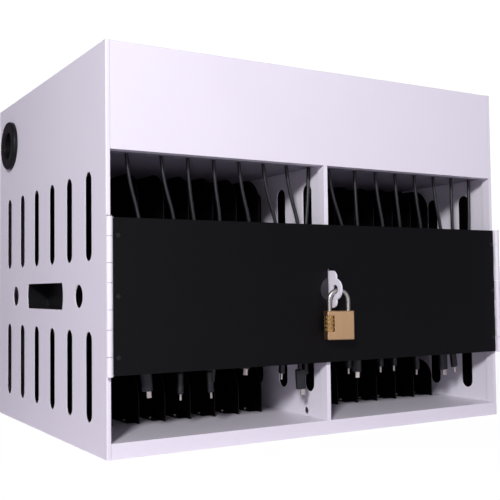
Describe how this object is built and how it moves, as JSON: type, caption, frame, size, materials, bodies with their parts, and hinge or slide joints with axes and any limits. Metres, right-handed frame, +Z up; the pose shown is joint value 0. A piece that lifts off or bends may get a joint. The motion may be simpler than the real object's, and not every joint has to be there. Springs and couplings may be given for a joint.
{
  "type": "charging cabinet",
  "caption": "Sheet steel cabinet that charges small devices in open bays behind a drop-in door panel held by a combination padlock.",
  "frame": {"origin": "centre of the base, on the surface that the cabinet stands on", "axes": "+X to the right along the front, +Y from the front to the back, +Z up"},
  "size_m": [0.5221, 0.4133, 0.4],
  "materials": {
    "white_powder_coat": "fine-textured satin powder coat on sheet steel",
    "black_powder_coat": "semi-gloss black powder coat on sheet steel",
    "black_moulding": "moulded black plastic, fine spark texture",
    "plain_aluminium": "brushed aluminium case",
    "zinc_steel": "bright zinc plate",
    "black_rivet": "black lacquered rivet",
    "grey_guard": "dark grey lacquer on thin steel",
    "cable_jacket": "soft matt black jacket",
    "cable_grip": "smooth black moulded grip",
    "plug_steel": "drawn bright steel shell",
    "shackle_steel": "hardened steel, ground and plated",
    "brass": "brushed solid brass",
    "dial_brass": "turned brass with dark numbers"
  },
  "bodies": {
    "cabinet": {"base_tray": "white_powder_coat", "base_plate": "white_powder_coat", "left_side_panel": "white_powder_coat", "right_side_panel": "white_powder_coat", "left_handle_cup": "black_moulding", "right_handle_cup": "black_moulding", "cable_grommet": "black_moulding", "top_cover": "white_powder_coat", "back_panel": "white_powder_coat", "centre_divider": "white_powder_coat", "power_shelf": "black_powder_coat", "left_bay_plates": "black_powder_coat", "right_bay_plates": "black_powder_coat", "plate_screws": "zinc_steel", "left_fixed_knuckles": "white_powder_coat", "right_fixed_knuckles": "white_powder_coat", "hinge_pin": "zinc_steel", "left_charging_hub": "black_moulding", "right_charging_hub": "black_moulding", "power_supply": "plain_aluminium", "cable_01": "cable_jacket", "cable_02": "cable_jacket", "cable_03": "cable_jacket", "cable_04": "cable_jacket", "cable_05": "cable_jacket", "cable_06": "cable_jacket", "cable_07": "cable_jacket", "cable_08": "cable_jacket", "cable_09": "cable_jacket", "cable_10": "cable_jacket", "cable_11": "cable_jacket", "cable_12": "cable_jacket", "cable_13": "cable_jacket", "cable_14": "cable_jacket", "cable_15": "cable_jacket", "cable_16": "cable_jacket", "plug_grips": "cable_grip", "plug_shells": "plug_steel"},
    "door": {"door_panel": "black_powder_coat", "left_door_leaf": "white_powder_coat", "right_door_leaf": "white_powder_coat", "wear_disc": "grey_guard", "door_rivets": "black_rivet"},
    "shackle": {"padlock_shackle": "shackle_steel"},
    "lock_body": {"padlock_body": "brass"},
    "dial_1": {"padlock_dial_1": "dial_brass"},
    "dial_2": {"padlock_dial_2": "dial_brass"},
    "dial_3": {"padlock_dial_3": "dial_brass"},
    "dial_4": {"padlock_dial_4": "dial_brass"}
  },
  "joints": [
    {"name": "door_hinge", "type": "hinge", "parent": "cabinet", "child": "door", "pos_m": [-0.2563, -0.1993, 0.15355], "axis": [0, 0, -1], "range_deg": [0, 260]},
    {"name": "padlock_swing", "type": "hinge", "parent": "cabinet", "child": "shackle", "pos_m": [0, -0.20931, 0.15631], "axis": [-1, 0, 0], "range_deg": [0, 60]},
    {"name": "padlock_release", "type": "slide", "parent": "shackle", "child": "lock_body", "axis": [0, 0, -1], "range_m": [0, 0.008]},
    {"name": "dial_1_turn", "type": "hinge", "parent": "lock_body", "child": "dial_1", "pos_m": [-0.00793, -0.20704, 0.1276], "axis": [0, 0, 1], "continuous": true},
    {"name": "dial_2_turn", "type": "hinge", "parent": "lock_body", "child": "dial_2", "pos_m": [-0.00793, -0.20704, 0.1232], "axis": [0, 0, 1], "continuous": true},
    {"name": "dial_3_turn", "type": "hinge", "parent": "lock_body", "child": "dial_3", "pos_m": [-0.00793, -0.20704, 0.1188], "axis": [0, 0, 1], "continuous": true},
    {"name": "dial_4_turn", "type": "hinge", "parent": "lock_body", "child": "dial_4", "pos_m": [-0.00793, -0.20704, 0.1144], "axis": [0, 0, 1], "continuous": true}
  ]
}
